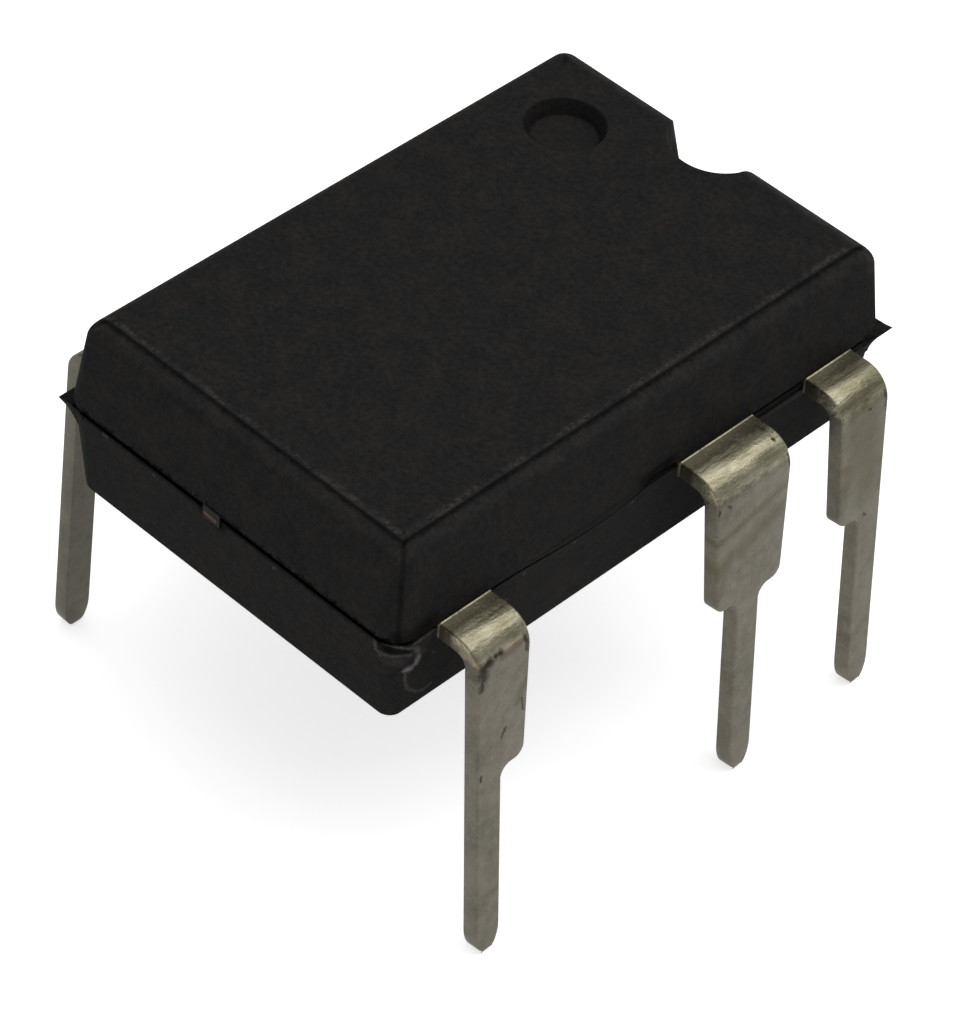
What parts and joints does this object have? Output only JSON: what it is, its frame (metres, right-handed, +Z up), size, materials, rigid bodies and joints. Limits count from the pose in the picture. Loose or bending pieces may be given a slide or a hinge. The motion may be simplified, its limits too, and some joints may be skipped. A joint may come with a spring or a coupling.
{
  "type": "dip integrated circuit chip",
  "caption": "Small through-hole chip: black drafted epoxy body with an end notch and a dimple, on two rows of bent tinned leads with one place left empty",
  "frame": {"origin": "centre of the lead pattern on the board face that the lead shoulders stand on", "axes": "+Z up from the board through the marked top face, +Y along the body towards the notched end, +X across the rows towards leads 5, 7 and 8"},
  "size_m": [0.0085, 0.0096, 0.0069],
  "materials": {
    "epoxy": "fine matte moulded epoxy",
    "tinned_lead": "dull tin plate on stamped copper",
    "adhesive": "silver-filled adhesive",
    "silicon": "polished silicon",
    "copper_wire": "drawn copper wire"
  },
  "bodies": {
    "root": {"mould_body": "epoxy", "lead_1": "tinned_lead", "lead_2": "tinned_lead", "lead_3": "tinned_lead", "lead_4": "tinned_lead", "lead_5": "tinned_lead", "paddle_and_leads_7_8": "tinned_lead", "die_attach": "adhesive", "die": "silicon", "bond_wire_1": "copper_wire", "bond_wire_2": "copper_wire", "bond_wire_3": "copper_wire", "bond_wire_4": "copper_wire", "bond_wire_5a": "copper_wire", "bond_wire_5b": "copper_wire", "ground_wire_a": "copper_wire", "ground_wire_b": "copper_wire"}
  },
  "joints": []
}
